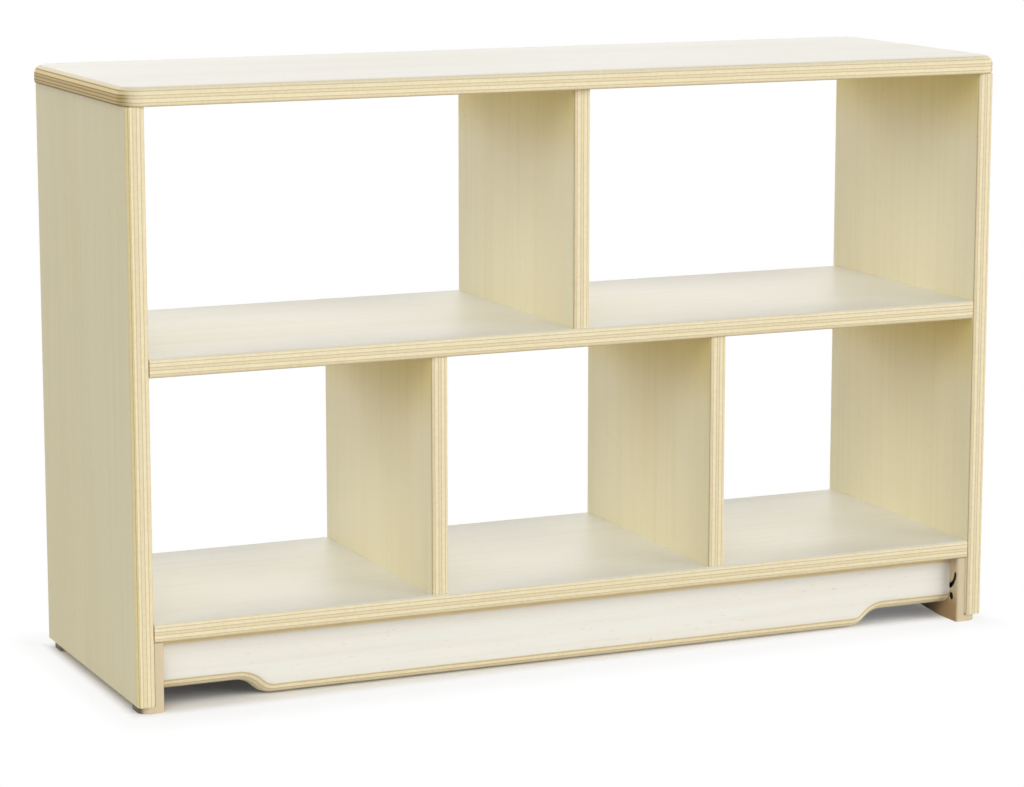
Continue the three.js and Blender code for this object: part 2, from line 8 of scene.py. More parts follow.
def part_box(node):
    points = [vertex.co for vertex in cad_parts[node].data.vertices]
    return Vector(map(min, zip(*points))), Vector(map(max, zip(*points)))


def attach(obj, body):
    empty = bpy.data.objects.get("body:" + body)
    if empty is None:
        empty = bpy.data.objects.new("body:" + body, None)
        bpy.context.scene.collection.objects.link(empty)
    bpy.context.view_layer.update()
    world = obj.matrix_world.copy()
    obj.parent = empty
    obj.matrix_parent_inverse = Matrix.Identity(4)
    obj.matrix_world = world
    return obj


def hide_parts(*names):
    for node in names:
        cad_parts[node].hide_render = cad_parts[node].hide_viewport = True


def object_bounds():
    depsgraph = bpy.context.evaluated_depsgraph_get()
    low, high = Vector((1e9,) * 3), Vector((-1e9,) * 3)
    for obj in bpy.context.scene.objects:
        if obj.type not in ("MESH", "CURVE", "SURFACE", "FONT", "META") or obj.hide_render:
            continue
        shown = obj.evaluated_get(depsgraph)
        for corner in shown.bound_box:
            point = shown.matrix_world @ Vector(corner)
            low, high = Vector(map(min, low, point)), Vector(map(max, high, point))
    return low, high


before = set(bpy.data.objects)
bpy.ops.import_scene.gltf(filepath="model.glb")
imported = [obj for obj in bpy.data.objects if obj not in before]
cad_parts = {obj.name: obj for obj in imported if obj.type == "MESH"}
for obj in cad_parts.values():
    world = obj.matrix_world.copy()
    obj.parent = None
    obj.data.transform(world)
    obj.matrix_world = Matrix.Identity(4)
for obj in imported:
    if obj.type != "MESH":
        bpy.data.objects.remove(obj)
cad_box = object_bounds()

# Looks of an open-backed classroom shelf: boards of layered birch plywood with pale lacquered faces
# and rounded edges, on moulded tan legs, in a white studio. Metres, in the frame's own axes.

RIGHT = Vector((1, 0, 0))
BACK = Vector((0, 1, 0))
UP = Vector((0, 0, 1))

# Footprint of the shelf, from the frame
LEFT_END, FRONT, FLOOR_LEVEL = cad_box[0]
RIGHT_END, REAR = cad_box[1][:2]
MIDDLE_X = (LEFT_END + RIGHT_END) / 2
MIDDLE_Y = (FRONT + REAR) / 2
HALF_WIDTH = (RIGHT_END - LEFT_END) / 2
HALF_DEPTH = (REAR - FRONT) / 2

# Boards
PLY = 0.019
VENEER = 0.0007  # pale outer layer of each face
THIN_VENEER = 0.0002  # the same on the left side panel
VENEER_BLUR = 0.2  # share of a veneer over which it gives way to the layers
GLUE_LINES = (0.06, 0.21, 0.42, 0.58, 0.79, 0.94)  # dark lines between layers, as shares of a board
GLUE_LINE_HALF = 0.03
LEFT_LINES = (0.06, 0.26, 0.45, 0.66, 0.82, 0.885)  # the same lines in the left side panel
END_LINES = (0.10, 0.24, 0.42, 0.58, 0.79, 0.94)  # the same across the bare ends of the top
END_LINE_HALF = 0.04
GLUE_GAP = 0.0002  # boards reach this far into the gap left for glue at their ends
EDGE_RADIUS = 0.004  # front and back edges of sides, shelves and dividers
FOOT_EDGE_RADIUS = 0.002  # lower edges of the side panels
TOP_CORNER_RADIUS = 0.022
TOP_UPPER_RADIUS = 0.0095
TOP_LOWER_RADIUS = 0.003
KICK_RAISE = 0.016  # raised ends of a kickboard
KICK_CURVE_FROM_END = 0.09975  # middle of the reverse curve
KICK_CURVE_RADIUS = 0.026
KICK_EDGE_RADIUS = 0.016
KICK_TOP_RADIUS = 0.004  # upper front edge, under the bottom shelf
KICK_SHADE_DEPTH = 0.0065  # painted shade along the top of a kickboard, under the bottom shelf
SHADE_FADE = 0.002
UNDER_REACH = 0.09  # painted shade on the uprights starts this far below the board above
EDGE_STEPS = 10
CORNER_STEPS = 16
CURVE_STEPS = 16
SHARP_ANGLE = math.radians(35)  # edges that turn more than this stay crisp

# Legs
LEG_EASE = 0.0006  # small rounding of the moulding's edges
LEG_EASE_STEPS = 2
WELD_DISTANCE = 1e-5
FLAT_ANGLE = math.radians(1)
LOW_SHADE_HEIGHTS = (0.004, 0.014)  # painted shade on the outer sides fades out between these heights
BROWN_HEIGHTS = (0.016, 0.040)  # the painted brown shade of the inner sides fades out between these
LEG_DEEP_START = 0.035  # painted shade darkens the inner sides from here, measured in from the front or the back
LEG_DEEP_END = 0.085
LEG_DEEP_SHARE = 0.85
HOLLOW_FROM = 0.0012  # painted shade fills slots and recesses from this deep behind the inner face
HOLLOW_BEHIND = 0.010  # clear of the leg's front or back face
HOLLOW_ABOVE = 0.014  # clear of the toe

# Camera
IMAGE_WIDTH = 1024
SENSOR_WIDTH = 36.0
FOCAL_PIXELS = 3393.2
CAMERA_PLACE = (-1.4376, -3.2089, 0.8888)
CAMERA_YAW = math.radians(23.969)  # to the right of straight back
CAMERA_PITCH = math.radians(10.160)  # below level
CAMERA_REACH = 200.0

# Studio
WHITE = (1, 1, 1, 1)
BACKGROUND_WHITE = 1.0
LAMPS = [  # name, degrees from the front towards the left, degrees above level, strength
    ("key", 315, 12, 2.4),
    ("front_high", 30, 40, 1.1),
    ("left_low", 60, 12, 0.35),
    ("left_behind_low", 135, 12, 0.7),
    ("left_behind_high", 135, 40, 0.4),
    ("behind_high", 180, 40, 1.0),
    ("behind_low", 180, 12, 0.15),
    ("right_behind_low", 225, 12, 0.25),
]
LAMP_SIZE = math.radians(45)
# Lamps that leave no mirrored light on the pale faces
NO_GLARE = ("key", "front_high", "left_low", "left_behind_low", "left_behind_high")
FLOOR_HALF = 40.0
FLOOR_WHITE = 0.98
FLOOR_UNDER = 0.6  # painted shadow on the floor well inside the footprint
FLOOR_BOUNCE = 0.85  # light that the floor gives back to the shelf
UNDER_START = -0.055  # places on the floor, outwards from the edge of the footprint, between which painted shadow deepens inwards
UNDER_END = -0.018
SHADOW_START = -0.02  # the shadow begins to fade into plain white
SHADOW_END = 0.008
SHADOW_EDGE = 0.8  # share of the fade reached there, the rest is slow
SHADOW_FAR = 0.07
ENDS_STEEPER = 2.0  # the shadow ends sooner beside the side panels
ENDS_OFFSET = -0.004
PAINTED_LIGHT_REACH = 0.024  # painted light: the white reaches this much further in at the right end of the shelf
DEEP_LEFT = 0.03  # share of plain white in the deepest shadow, at the two ends, larger at the right end as painted light
DEEP_RIGHT = 0.155

# Colours, linear
# One lacquered birch face in lit and shaded copies, as painted light and shade: pale on faces turned up or
# to the front, warmer on uprights inside, darker on the outer sides, darkest underneath
FACE_TOP = (0.815, 0.785, 0.705)
FACE_SHELF = (0.82, 0.82, 0.76)
FACE_KICK = (0.85, 0.835, 0.77)
FACE_UNDER = (0.55, 0.41, 0.20)  # undersides of top and shelves, the darkest painted shaded copy
FACE_WARM = (0.905, 0.85, 0.615)  # uprights, inside the shelf, a painted shaded copy of the pale faces
UNDER_SHADE = (0.88, 0.78, 0.43)  # painted shade on the uprights close under the board above
FACE_SIDE = (0.675, 0.605, 0.385)  # side panels, outside, a painted shaded copy, darker than their inner faces
PLY_LIGHT = (0.87, 0.775, 0.535)  # layers across the edges
PLY_MIDDLE = (0.82, 0.71, 0.47)
PLY_OUTER = (0.84, 0.73, 0.48)  # layers next to a face
PLY_DARK = (0.58, 0.45, 0.25)  # inner glue lines and cut fibres
GLUE_PALE = (0.78, 0.68, 0.47)  # glue lines next to a face
# glue line next to the left-facing face of the uprights: a real glue line, darker as painted shade on that
# side
GLUE_DARK = (0.46, 0.35, 0.18)
RIM_PALE = (0.86, 0.78, 0.56)  # layer under the upper face of a pale board, its own tone raised as painted light
RIM_KICK = (0.94, 0.83, 0.57)  # layer under the face of a kickboard, its own tone raised as painted light from the floor
RIM_GOLD = (0.90, 0.77, 0.40)  # layer under the outer face of the left side panel
END_LIGHT = (0.82, 0.64, 0.32)  # layers across the bare ends of the top
END_MIDDLE = (0.57, 0.43, 0.19)
# END_DARK marks the glue lines across the bare ends and, as painted shadow, their lowest layer and their
# underside
END_DARK = (0.16, 0.095, 0.03)
KICK_SHADE = (0.82, 0.66, 0.36)  # painted shade on the kickboard's face close under the bottom shelf
GRAIN_TINT = (0.975, 0.955, 0.92)  # tints of the marks on lacquered faces
CLOUD_TINT = (0.98, 0.965, 0.935)
FLECK_TINT = (0.88, 0.82, 0.72)
PLASTIC = (0.68, 0.565, 0.38)
PLASTIC_DARK = (0.544, 0.452, 0.304)  # the darker clouds in each material
LEG_SHADE_DARK = (0.10, 0.09, 0.07)  # painted shade on the legs' outer sides close to the floor and deep in on their inner sides
HOLLOW = (0.07, 0.045, 0.02)  # painted shade inside the legs' slots and recesses
LEG_BROWN = (0.72, 0.57, 0.42)  # painted brown shade on the legs' inner sides below the kickboard
BEECH = (0.60, 0.42, 0.22)
BEECH_DARK = (0.45, 0.315, 0.165)
STEEL = (0.05, 0.045, 0.04)
STEEL_DARK = (0.04, 0.036, 0.032)

# Textures: noise cells per metre, the noise values that a mark comes in over, gloss and relief
WIDE_RANGE = (0.2, 0.8)  # nearly all noise values
CORE_RANGE = (0.3, 0.7)  # most of them
WAVE_CELLS = 22.0  # layers of plywood wander a little
WAVE_SHARE = 0.02
FIBRE_CELLS = 260.0  # cut fibres on the edges
FIBRE_SHADE = 0.16
SHEET_SHIFT = (9.0, 9.0, 9.0)  # boards come from different parts of a sheet, by where they stand
GRAIN_CELLS = (3.0, 110.0, 3.0)  # drawn out along a board's own X
GRAIN_RANGE = (0.42, 0.75)
CLOUD_CELLS = (1.5, 9.0, 1.5)
CLOUD_RANGE = (0.40, 0.75)
FLECK_CELLS = (110.0, 700.0, 110.0)
FLECK_RANGE = (0.70, 0.78)
FACE_GLOSS = 0.3
EDGE_GLOSS = 0.06
WOOD_ROUGHNESS = 0.36
WOOD_ROUGHNESS_SPREAD = 0.12
WOOD_RELIEF = 0.06
WOOD_RELIEF_DEPTH = 0.0004
END_FACING = (0.5, 0.9)  # how squarely a surface faces endwise while its bare layers come in
# painted shadow on the underside of the bare ends comes in over these facings
END_UNDER_FACING = (0.2, 0.5)
PLASTIC_CELLS = 1400.0
PLASTIC_CLOUD_CELLS = 30.0
PLASTIC_SHADE = 0.10
PLASTIC_ROUGHNESS = (0.45, 0.6)
PLASTIC_RELIEF = 0.15
PLASTIC_RELIEF_DEPTH = 0.0002
SIDE_FACING = (0.5, 0.95)  # how squarely a surface of a leg faces sideways while its marks come in
BEECH_CELLS = 500.0
BEECH_ROUGHNESS = (0.6, 0.75)
STEEL_CELLS = 900.0
STEEL_ROUGHNESS = (0.3, 0.45)


# Shader helpers

def new_material(name):
    material = bpy.data.materials.new(name)
    material.use_nodes = True
    material.node_tree.nodes.clear()
    return material, material.node_tree


def add_node(tree, kind, inputs=None, **settings):
    node = tree.nodes.new(kind)
    for key, value in settings.items():
        setattr(node, key, value)
    for key, value in (inputs or {}).items():
        if isinstance(value, bpy.types.NodeSocket):
            tree.links.new(value, node.inputs[key])
        else:
            node.inputs[key].default_value = value
    return node


def calculate(tree, operation, *values):
    inputs = dict(enumerate(values))
    return add_node(tree, "ShaderNodeMath", inputs, operation=operation).outputs[0]


def blend_range(tree, value, low, high, to_low=0.0, to_high=1.0):
    inputs = {"Value": value, "From Min": low, "From Max": high, "To Min": to_low, "To Max": to_high}
    return add_node(tree, "ShaderNodeMapRange", inputs, interpolation_type="SMOOTHSTEP").outputs["Result"]


def mix_colour(tree, factor, first, second, blend="MIX"):
    node = add_node(tree, "ShaderNodeMix", data_type="RGBA", blend_type=blend)
    for socket, value in ((node.inputs[0], factor), (node.inputs[6], first), (node.inputs[7], second)):
        if isinstance(value, bpy.types.NodeSocket):
            tree.links.new(value, socket)
        elif isinstance(value, tuple):
            socket.default_value = (*value, 1.0)
        else:
            socket.default_value = value
    return node.outputs[2]


def noise(tree, vector, scale, detail=2.0, roughness=0.5):
    inputs = {"Vector": vector, "Scale": scale, "Detail": detail, "Roughness": roughness}
    return add_node(tree, "ShaderNodeTexNoise", inputs).outputs["Fac"]


def stretched_noise(tree, vector, cells, detail=2.0, roughness=0.5):
    scaled = add_node(tree, "ShaderNodeMapping", {"Vector": vector, "Scale": cells})
    return noise(tree, scaled.outputs["Vector"], 1.0, detail, roughness)


def colour_ramp(tree, value, stops):
    node = add_node(tree, "ShaderNodeValToRGB", {"Fac": value})
    elements = node.color_ramp.elements
    while len(elements) < len(stops):
        elements.new(1.0)
    for element, (position, colour) in zip(elements, stops):
        element.position = position
        element.color = (*colour, 1.0)
    return node.outputs["Color"]


def split(tree, vector):
    return add_node(tree, "ShaderNodeSeparateXYZ", {"Vector": vector}).outputs


def room_place(tree):
    return add_node(tree, "ShaderNodeNewGeometry").outputs["Position"]


def own_place(tree):
    return add_node(tree, "ShaderNodeTexCoord").outputs["Object"]


def bumpy(tree, height, strength, distance):
    inputs = {"Height": height, "Strength": strength, "Distance": distance}
    return add_node(tree, "ShaderNodeBump", inputs).outputs["Normal"]


def finish_material(tree, inputs):
    shader = add_node(tree, "ShaderNodeBsdfPrincipled", inputs)
    output = add_node(tree, "ShaderNodeOutputMaterial")
    tree.links.new(shader.outputs["BSDF"], output.inputs["Surface"])


# Plywood

def layer_colours(tree, share, lines, half, tones, glues):
    """Colours from the lower to the upper face: the tones of the layers, parted by lines of glue."""
    stops = [(0.0, tones[0])]
    for line, glue, below, above in zip(lines, glues, tones, tones[1:]):
        stops += [(line - half, below), (line, glue), (line + half, above)]
    stops.append((1.0, tones[-1]))
    return colour_ramp(tree, share, stops)


def wavy_share(tree):
    """Share of a board's thickness, from its lower face to its upper face, slightly wavy."""
    height = split(tree, own_place(tree))["Z"]
    share = calculate(tree, "MULTIPLY_ADD", height, 1 / PLY, 0.5)
    wave = calculate(tree, "SUBTRACT", noise(tree, room_place(tree), WAVE_CELLS), 0.5)
    return calculate(tree, "MULTIPLY_ADD", wave, WAVE_SHARE, share)


def endwise(tree):
    """One where a board's surface faces along the grain, zero where it faces across it."""
    normal = add_node(tree, "ShaderNodeTexCoord").outputs["Normal"]
    return calculate(tree, "ABSOLUTE", split(tree, normal)["X"])


def edge_colour(tree, fibre, rim, rim_glue, lines, bare_ends):
    """Layers across a board's edges, darker on bare ends, with a painted shadow line in their lowest layer,
    and the fibres that the saw cut.
    """
    share = wavy_share(tree)
    tones = (PLY_OUTER, PLY_OUTER, PLY_LIGHT, PLY_MIDDLE, PLY_LIGHT, rim, rim)
    glues = (GLUE_PALE, *(PLY_DARK,) * (len(lines) - 2), rim_glue)
    layers = layer_colours(tree, share, lines, GLUE_LINE_HALF, tones, glues)
    if bare_ends:
        # the lowest layer of a bare end is a painted shadow line
        end_tones = (END_DARK, END_MIDDLE, END_MIDDLE, END_MIDDLE, END_LIGHT, END_LIGHT, END_LIGHT)
        end_glues = (END_DARK,) * len(END_LINES)
        end_layers = layer_colours(tree, share, END_LINES, END_LINE_HALF, end_tones, end_glues)
        layers = mix_colour(tree, blend_range(tree, endwise(tree), *END_FACING), layers, end_layers)
    fibre_shade = blend_range(tree, fibre, *CORE_RANGE, 0.0, FIBRE_SHADE)
    return mix_colour(tree, fibre_shade, layers, PLY_DARK)


def under_board_shade(tree):
    """Rises to one towards the underside of the top and of the middle shelf, where the uprights take painted
    shade.
    """
    height = split(tree, room_place(tree))["Z"]
    rises = []
    for board in ("top_panel", "middle_shelf"):
        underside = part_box(board)[0].z
        rise = blend_range(tree, height, underside - UNDER_REACH, underside)
        below = calculate(tree, "LESS_THAN", height, underside)
        rises.append(calculate(tree, "MULTIPLY", rise, below))
    return calculate(tree, "MAXIMUM", *rises)


def face_colour(tree, face, under, bare_ends):
    """Colours of a board's upper and lower face, with painted shadow under bare ends and painted shade on
    uprights close under the board above.
    """
    if bare_ends:
        # painted shadow on the underside of the bare ends
        under = mix_colour(tree, blend_range(tree, endwise(tree), *END_UNDER_FACING), under, END_DARK)
    if FACE_WARM in (face, under):
        # painted shade on the uprights close under the board above
        shaded_warm = mix_colour(tree, under_board_shade(tree), FACE_WARM, UNDER_SHADE, "MULTIPLY")
        face = shaded_warm if face == FACE_WARM else face
        under = shaded_warm if under == FACE_WARM else under
    is_upper = calculate(tree, "GREATER_THAN", split(tree, own_place(tree))["Z"], 0.0)
    return mix_colour(tree, is_upper, under, face)


def within_veneer(tree, veneer):
    """One on the faces of a board, zero on the layers of its edges."""
    height = split(tree, own_place(tree))["Z"]
    depth = calculate(tree, "SUBTRACT", PLY / 2, calculate(tree, "ABSOLUTE", height))
    return blend_range(tree, depth, veneer * (1 - VENEER_BLUR), veneer * (1 + VENEER_BLUR), 1.0, 0.0)


def sheet_place(tree):
    """Place in the sheet that a board was cut from, so that no two boards share their grain."""
    stand = add_node(tree, "ShaderNodeObjectInfo").outputs["Location"]
    inputs = {0: stand, 1: SHEET_SHIFT, 2: own_place(tree)}
    return add_node(tree, "ShaderNodeVectorMath", inputs, operation="MULTIPLY_ADD").outputs["Vector"]


def make_plywood(
    name, face, under, rim, rim_glue, lines=GLUE_LINES, veneer=VENEER, bare_ends=False, shaded_above=None,
):
    """Layers across the board's thickness, its own Z, under pale faces with faint grain along X.

    Bare ends show darker layers. A face takes a painted brown shade above the height shaded_above, on its
    own Y.
    """
    material, tree = new_material(name)
    fibre = noise(tree, room_place(tree), FIBRE_CELLS, detail=3.0)
    sheet = sheet_place(tree)
    grain = stretched_noise(tree, sheet, GRAIN_CELLS, detail=4.0, roughness=0.6)
    cloud = stretched_noise(tree, sheet, CLOUD_CELLS)
    flecks = stretched_noise(tree, sheet, FLECK_CELLS, detail=1.0)

    faces = face_colour(tree, face, under, bare_ends)
    for mark, limits, tint in (
        (grain, GRAIN_RANGE, GRAIN_TINT),
        (cloud, CLOUD_RANGE, CLOUD_TINT),
        (flecks, FLECK_RANGE, FLECK_TINT),
    ):
        faces = mix_colour(tree, blend_range(tree, mark, *limits), faces, tint, "MULTIPLY")
    # painted shade on the face close under the board above
    if shaded_above is not None:
        height = split(tree, own_place(tree))["Y"]
        is_shaded = blend_range(tree, height, shaded_above - SHADE_FADE, shaded_above + SHADE_FADE)
        faces = mix_colour(tree, is_shaded, faces, KICK_SHADE)

    is_face = within_veneer(tree, veneer)
    edges = edge_colour(tree, fibre, rim, rim_glue, lines, bare_ends)
    relief = calculate(tree, "MULTIPLY_ADD", grain, 0.5, calculate(tree, "MULTIPLY", fibre, 0.5))
    finish_material(tree, {
        "Base Color": mix_colour(tree, is_face, edges, faces),
        "Roughness": calculate(tree, "MULTIPLY_ADD", cloud, WOOD_ROUGHNESS_SPREAD, WOOD_ROUGHNESS),
        "Specular IOR Level": calculate(tree, "MULTIPLY_ADD", is_face, FACE_GLOSS - EDGE_GLOSS, EDGE_GLOSS),
        "Normal": bumpy(tree, relief, WOOD_RELIEF, WOOD_RELIEF_DEPTH),
    })
    return material


# Plastic, dowel wood and steel

def shaded_leg_colour(tree, colour):
    """Painted shade: browner low on the inner sides and darker further in, dark in slots and recesses and
    low on the outer sides.
    """
    geometry = add_node(tree, "ShaderNodeNewGeometry").outputs
    axes = split(tree, geometry["Position"])
    above_floor = calculate(tree, "SUBTRACT", axes["Z"], FLOOR_LEVEL)
    from_middle = calculate(tree, "SUBTRACT", axes["X"], MIDDLE_X)
    depth = calculate(tree, "ABSOLUTE", calculate(tree, "SUBTRACT", axes["Y"], MIDDLE_Y))
    inwards = calculate(tree, "SUBTRACT", HALF_DEPTH, depth)
    facing = split(tree, geometry["Normal"])["X"]
    outward = calculate(tree, "MULTIPLY", facing, calculate(tree, "SIGN", from_middle))

    # painted brown shade low on the inner sides, darkening further in
    is_inner = blend_range(tree, calculate(tree, "MULTIPLY", outward, -1.0), *SIDE_FACING)
    browned = calculate(tree, "MULTIPLY", is_inner, blend_range(tree, above_floor, *BROWN_HEIGHTS, 1.0, 0.0))
    colour = mix_colour(tree, browned, colour, LEG_BROWN, "MULTIPLY")
    deep = blend_range(tree, inwards, LEG_DEEP_START, LEG_DEEP_END, 0.0, LEG_DEEP_SHARE)
    colour = mix_colour(tree, calculate(tree, "MULTIPLY", browned, deep), colour, LEG_SHADE_DARK)

    # painted shade in the slots and recesses
    inner_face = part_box("leg_front_right")[0].x - MIDDLE_X
    behind_face = calculate(tree, "SUBTRACT", calculate(tree, "ABSOLUTE", from_middle), inner_face)
    hollow = calculate(tree, "GREATER_THAN", behind_face, HOLLOW_FROM)
    for value, limit in ((inwards, HOLLOW_BEHIND), (above_floor, HOLLOW_ABOVE)):
        hollow = calculate(tree, "MULTIPLY", hollow, calculate(tree, "GREATER_THAN", value, limit))
    colour = mix_colour(tree, hollow, colour, HOLLOW)

    # painted shade low on the outer sides
    is_outer = blend_range(tree, outward, *SIDE_FACING)
    shaded_low = calculate(tree, "MULTIPLY", is_outer, blend_range(tree, above_floor, *LOW_SHADE_HEIGHTS, 1.0, 0.0))
    return mix_colour(tree, shaded_low, colour, LEG_SHADE_DARK)


def make_plastic():
    """Tan moulding with a fine spark-eroded texture."""
    material, tree = new_material("tan_plastic")
    place = room_place(tree)
    fine = noise(tree, place, PLASTIC_CELLS)
    cloud = noise(tree, place, PLASTIC_CLOUD_CELLS)
    shade = blend_range(tree, cloud, *CORE_RANGE, 0.0, PLASTIC_SHADE)
    finish_material(tree, {
        "Base Color": shaded_leg_colour(tree, mix_colour(tree, shade, PLASTIC, PLASTIC_DARK)),
        "Roughness": blend_range(tree, fine, *WIDE_RANGE, *PLASTIC_ROUGHNESS),
        "Normal": bumpy(tree, fine, PLASTIC_RELIEF, PLASTIC_RELIEF_DEPTH),
    })
    return material


def make_beech():
    """Bare dowel wood with short dark flecks."""
    material, tree = new_material("beech")
    grain = noise(tree, room_place(tree), BEECH_CELLS, detail=3.0)
    finish_material(tree, {
        "Base Color": mix_colour(tree, grain, BEECH, BEECH_DARK),
        "Roughness": blend_range(tree, grain, *WIDE_RANGE, *BEECH_ROUGHNESS),
    })
    return material


def make_steel():
    """Screw steel with a black oxide finish."""
    material, tree = new_material("screw_steel")
    cloud = noise(tree, room_place(tree), STEEL_CELLS)
    finish_material(tree, {
        "Base Color": mix_colour(tree, cloud, STEEL, STEEL_DARK),
        "Metallic": 1.0,
        "Roughness": blend_range(tree, cloud, *WIDE_RANGE, *STEEL_ROUGHNESS),
    })
    return material


# Objects and meshes

def add_object(name, data):
    new_object = bpy.data.objects.new(name, data)
    bpy.context.scene.collection.objects.link(new_object)
    return new_object


def weight_normals(piece):
    normals = piece.modifiers.new("face_normals", "WEIGHTED_NORMAL")
    normals.keep_sharp = True


def loft(name, rings):
    """Closed mesh through rings of equally many points, each (height, [(x, y), ...]) run anticlockwise."""
    count = len(rings[0][1])
    vertices = [(x, y, height) for height, outline in rings for x, y in outline]
    faces = [tuple(reversed(range(count)))]
    for level in range(len(rings) - 1):
        for index in range(count):
            here = level * count + index
            after = level * count + (index + 1) % count
            faces.append((here, after, after + count, here + count))
    last = (len(rings) - 1) * count
    faces.append(tuple(range(last, last + count)))
    mesh = bpy.data.meshes.new(name)
    mesh.from_pydata(vertices, [], faces)
    mesh.shade_smooth()
    mesh.set_sharp_from_angle(angle=SHARP_ANGLE)
    piece = add_object(name, mesh)
    weight_normals(piece)
    return piece


def round_over(radius):
    """Pairs of inset and drop round a quarter circle, from the flat face to the upright edge."""
    pairs = []
    for step in range(EDGE_STEPS + 1):
        angle = math.radians(90) * step / EDGE_STEPS
        pairs.append((radius * (1 - math.sin(angle)), radius * (1 - math.cos(angle))))
    return pairs


def both_edges(thickness, lower_radius, upper_radius):
    """Pairs of height and inset from the lower face to the upper face of a board with rounded edges."""
    half = thickness / 2
    levels = [(-half + drop, inset) for inset, drop in round_over(lower_radius)]
    levels += [(half - drop, inset) for inset, drop in reversed(round_over(upper_radius))]
    return levels


def rounded_rectangle(width, depth, radius):
    outline = []
    for corner, (sign_x, sign_y) in enumerate(((1, 1), (-1, 1), (-1, -1), (1, -1))):
        for step in range(CORNER_STEPS + 1):
            angle = math.radians(90) * (corner + step / CORNER_STEPS)
            outline.append((
                sign_x * (width / 2 - radius) + radius * math.cos(angle),
                sign_y * (depth / 2 - radius) + radius * math.sin(angle),
            ))
    return outline


def node_size(node, *axes):
    low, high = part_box(node)
    size = high - low
    return [abs(size.dot(axis)) for axis in axes]


def dress(piece, node, grain, across, material):
    """Sets a board in the place of its node, with its own X along the grain and its own Z through it."""
    low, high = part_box(node)
    turn = Matrix((grain, across, grain.cross(across))).transposed().to_4x4()
    piece.matrix_world = Matrix.Translation((low + high) / 2) @ turn
    piece.data.materials.append(material)
    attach(piece, "root")
    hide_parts(node)


# Boards

def add_top(material):
    width, depth, thickness = node_size("top_panel", RIGHT, BACK, UP)
    rings = []
    for height, inset in both_edges(thickness, TOP_LOWER_RADIUS, TOP_UPPER_RADIUS):
        radius = TOP_CORNER_RADIUS - inset
        rings.append((height, rounded_rectangle(width - 2 * inset, depth - 2 * inset, radius)))
    dress(loft("top_board", rings), "top_panel", RIGHT, BACK, material)


def add_board(node, grain, across, material, foot_radius=0.0):
    """Board with rounded long edges, square at its far end and eased at its near end by foot_radius."""
    length, depth, thickness = node_size(node, grain, across, grain.cross(across))
    feet = [inset for _, inset in both_edges(thickness, foot_radius, foot_radius)]
    rings = []
    for (height, inset), foot in zip(both_edges(thickness, EDGE_RADIUS, EDGE_RADIUS), feet):
        near = -length / 2 + (foot if foot_radius else -GLUE_GAP)
        far = length / 2 + GLUE_GAP
        side = depth / 2 - inset
        rings.append((height, [(near, -side), (far, -side), (far, side), (near, side)]))
    dress(loft(node + "_board", rings), node, grain, across, material)


def kick_outline(length, height, inset, top_inset):
    """Raised ends and a low middle joined by reverse curves, drawn in by inset below and top_inset above."""
    turn = math.acos(1 - KICK_RAISE / (2 * KICK_CURVE_RADIUS))
    run = KICK_CURVE_RADIUS * math.sin(turn)
    curve_x = length / 2 - KICK_CURVE_FROM_END
    base = -height / 2
    right = []
    for step in range(CURVE_STEPS + 1):
        angle = turn * step / CURVE_STEPS
        radius = KICK_CURVE_RADIUS - inset
        right.append((
            curve_x - run + radius * math.sin(angle),
            base + KICK_CURVE_RADIUS - radius * math.cos(angle),
        ))
    for step in reversed(range(CURVE_STEPS)):
        angle = turn * step / CURVE_STEPS
        radius = KICK_CURVE_RADIUS + inset
        right.append((
            curve_x + run - radius * math.sin(angle),
            base + KICK_RAISE - KICK_CURVE_RADIUS + radius * math.cos(angle),
        ))
    right.append((length / 2, base + KICK_RAISE + inset))
    right.append((length / 2, -base - top_inset))
    left = [(-x, y) for x, y in reversed(right)]
    return right + left


def add_kickboard(node, grain, material):
    length, height, thickness = node_size(node, RIGHT, UP, BACK)
    rings = [(-thickness / 2, kick_outline(length, height, 0.0, 0.0))]
    for inset, drop in reversed(round_over(KICK_EDGE_RADIUS)):
        rise = max(KICK_TOP_RADIUS - drop, 0.0)
        top_inset = KICK_TOP_RADIUS - math.sqrt(KICK_TOP_RADIUS ** 2 - rise ** 2)
        rings.append((thickness / 2 - drop, kick_outline(length, height, inset, top_inset)))
    dress(loft(node + "_board", rings), node, grain, UP, material)


# Legs, screws and dowels

def add_leg(node, material):
    """The moulding with its hard edges eased."""
    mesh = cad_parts[node].data.copy()
    mesh.name = node + "_moulding"
    shape = bmesh.new()
    shape.from_mesh(mesh)
    bmesh.ops.remove_doubles(shape, verts=shape.verts, dist=WELD_DISTANCE)
    bmesh.ops.dissolve_limit(
        shape,
        angle_limit=FLAT_ANGLE,
        verts=shape.verts,
        edges=shape.edges,
    )
    shape.to_mesh(mesh)
    shape.free()
    mesh.materials.clear()
    mesh.materials.append(material)
    mesh.shade_smooth()
    mesh.set_sharp_from_angle(angle=SHARP_ANGLE)
    piece = add_object(node + "_moulding", mesh)
    ease = piece.modifiers.new("eased_edges", "BEVEL")
    ease.width = LEG_EASE
    ease.segments = LEG_EASE_STEPS
    ease.limit_method = "ANGLE"
    ease.angle_limit = SHARP_ANGLE
    ease.use_clamp_overlap = True
    weight_normals(piece)
    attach(piece, "root")
    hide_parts(node)


def repaint(prefix, material):
    for name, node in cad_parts.items():
        if name.startswith(prefix):
            node.material_slots[0].material = material


# Studio

